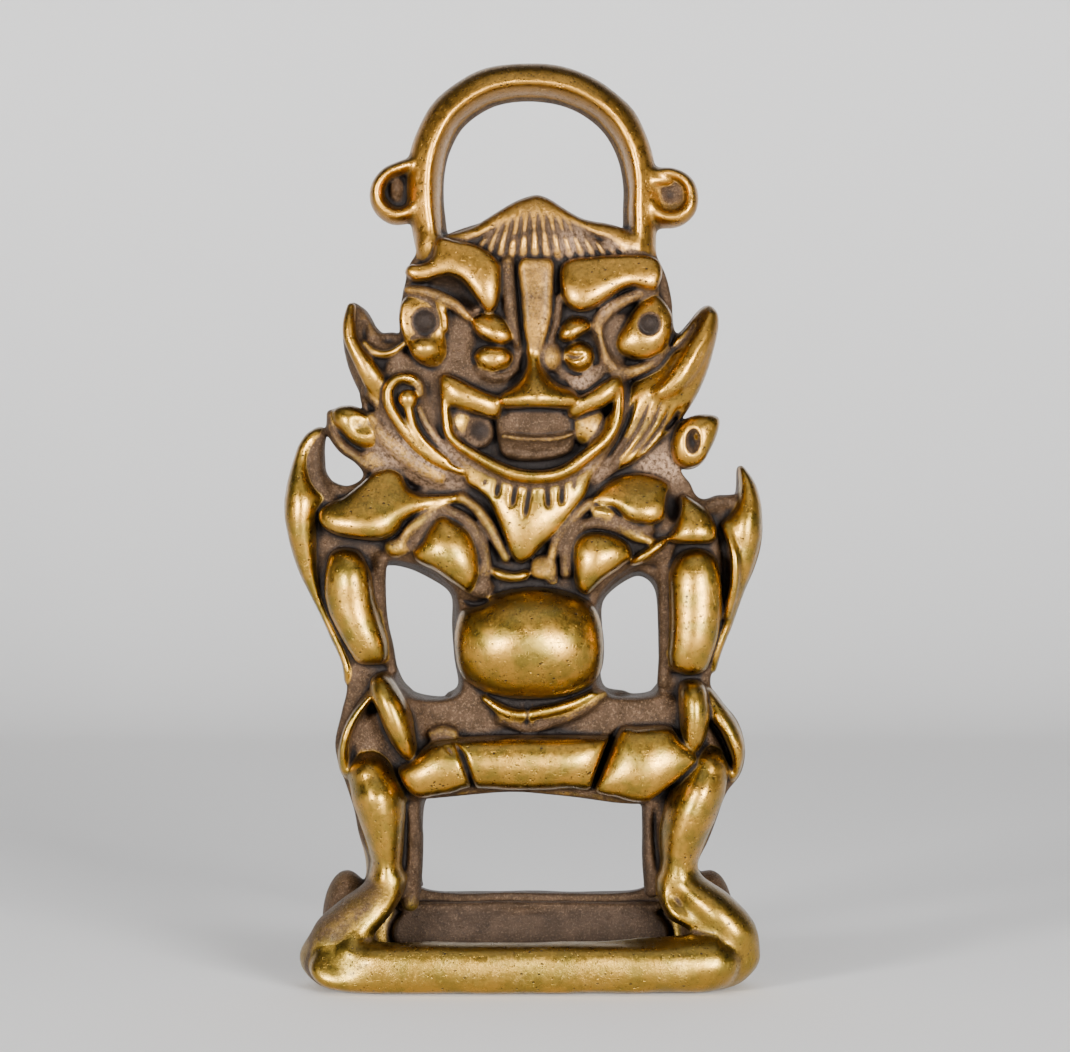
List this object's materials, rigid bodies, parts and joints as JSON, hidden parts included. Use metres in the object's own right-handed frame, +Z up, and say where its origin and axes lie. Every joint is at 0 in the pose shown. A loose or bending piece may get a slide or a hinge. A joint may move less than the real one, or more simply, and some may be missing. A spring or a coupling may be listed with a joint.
{
  "type": "cast brass guardian demon pendant",
  "caption": "Small cast brass amulet of a squatting horned guardian demon on a foot plate, with a hanging loop over its head.",
  "frame": {"origin": "centre of the footprint on the underside of the foot plate", "axes": "+Z up through the hanging loop, -Y towards the viewer of the face, +X to the right of the picture"},
  "size_m": [0.0328, 0.0128, 0.0633],
  "materials": {
    "aged_brass": "worn polished high points over dark brown matte recesses, with fine casting pits"
  },
  "bodies": {
    "root": {"guardian_pendant": "aged_brass"}
  },
  "joints": []
}
